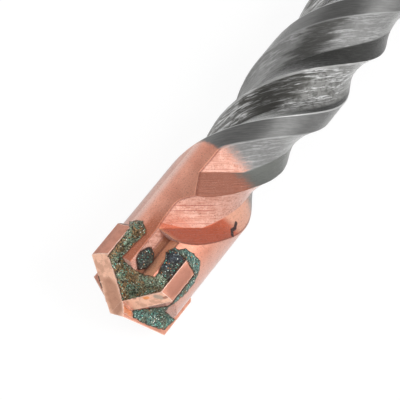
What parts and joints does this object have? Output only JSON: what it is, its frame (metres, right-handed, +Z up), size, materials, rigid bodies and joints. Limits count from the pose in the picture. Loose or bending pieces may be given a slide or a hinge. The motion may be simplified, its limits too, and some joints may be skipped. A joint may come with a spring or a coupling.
{
  "type": "masonry drill bit",
  "caption": "Round-shank masonry drill bit with a four-edged carbide head, copper-plated tip and steep helical flutes.",
  "frame": {"origin": "centre of the shank's flat rear end face", "axes": "+X along the bit's axis from the shank to the tip, +Z up with the bit lying on its body, +Y to the left when looking toward the tip"},
  "size_m": [0.21, 0.0138, 0.0138],
  "materials": {
    "body_steel": "satin",
    "carbide": "matt sintered",
    "braze": "dark and sparkling"
  },
  "bodies": {
    "root": {"drill_body": "body_steel", "main_carbide_plate": "carbide", "cross_carbide_upper": "carbide", "cross_carbide_lower": "carbide", "braze_band_upper": "braze", "braze_band_lower": "braze", "braze_pad_upper": "braze", "braze_pad_lower": "braze", "braze_front_grooved_upper": "braze", "braze_front_grooved_lower": "braze", "braze_front_solid_upper": "braze", "braze_front_solid_lower": "braze", "braze_blob_upper": "braze"}
  },
  "joints": []
}
